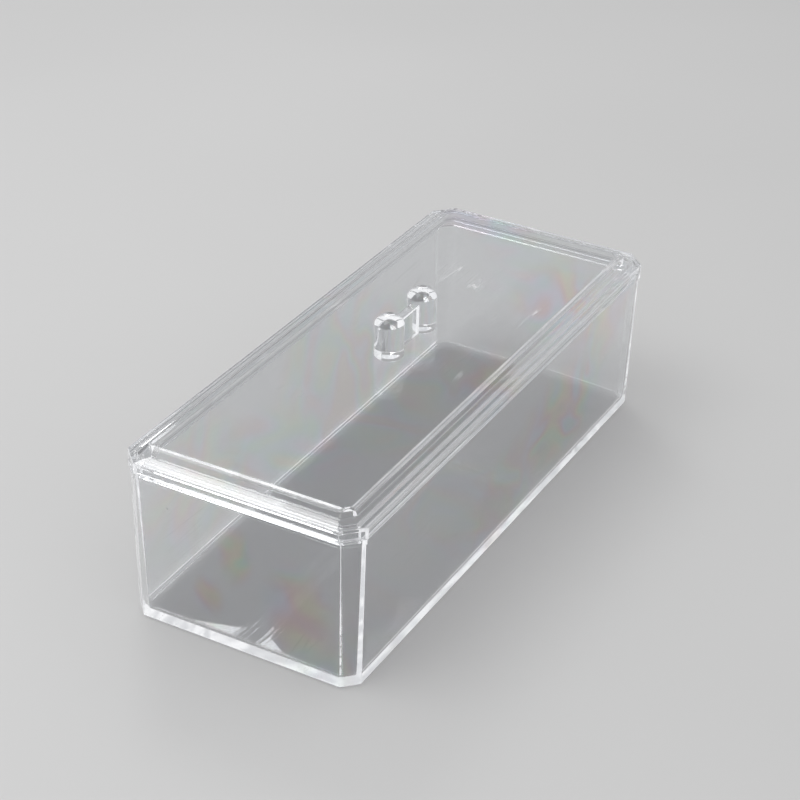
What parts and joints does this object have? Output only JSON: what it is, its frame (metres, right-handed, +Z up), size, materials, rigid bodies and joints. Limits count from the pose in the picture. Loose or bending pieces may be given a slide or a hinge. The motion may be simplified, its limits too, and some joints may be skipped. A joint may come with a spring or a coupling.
{
  "type": "lidded make-up organizer box",
  "caption": "Long, low clear box with cut corners for make-up, with a lift-off lid that has a raised panel and a bridged post grip in its middle.",
  "frame": {"origin": "middle of the tray's underside, on the surface that the box stands on", "axes": "+X along the box, +Y across it, +Z up through the lid and its grip"},
  "size_m": [0.24, 0.0976, 0.0883],
  "materials": {
    "tray_clear": "polished, colourless, see-through moulded plastic",
    "lid_clear": "polished, colourless, see-through moulded plastic with fine handling scratches",
    "handle_clear": "polished, colourless, see-through moulded plastic"
  },
  "bodies": {
    "tray": {"tray": "tray_clear"},
    "lid": {"lid": "lid_clear", "handle": "handle_clear"}
  },
  "joints": [
    {"name": "lid_lift", "type": "slide", "parent": "tray", "child": "lid", "axis": [0, 0, 1], "range_m": [0, 0.08]}
  ]
}
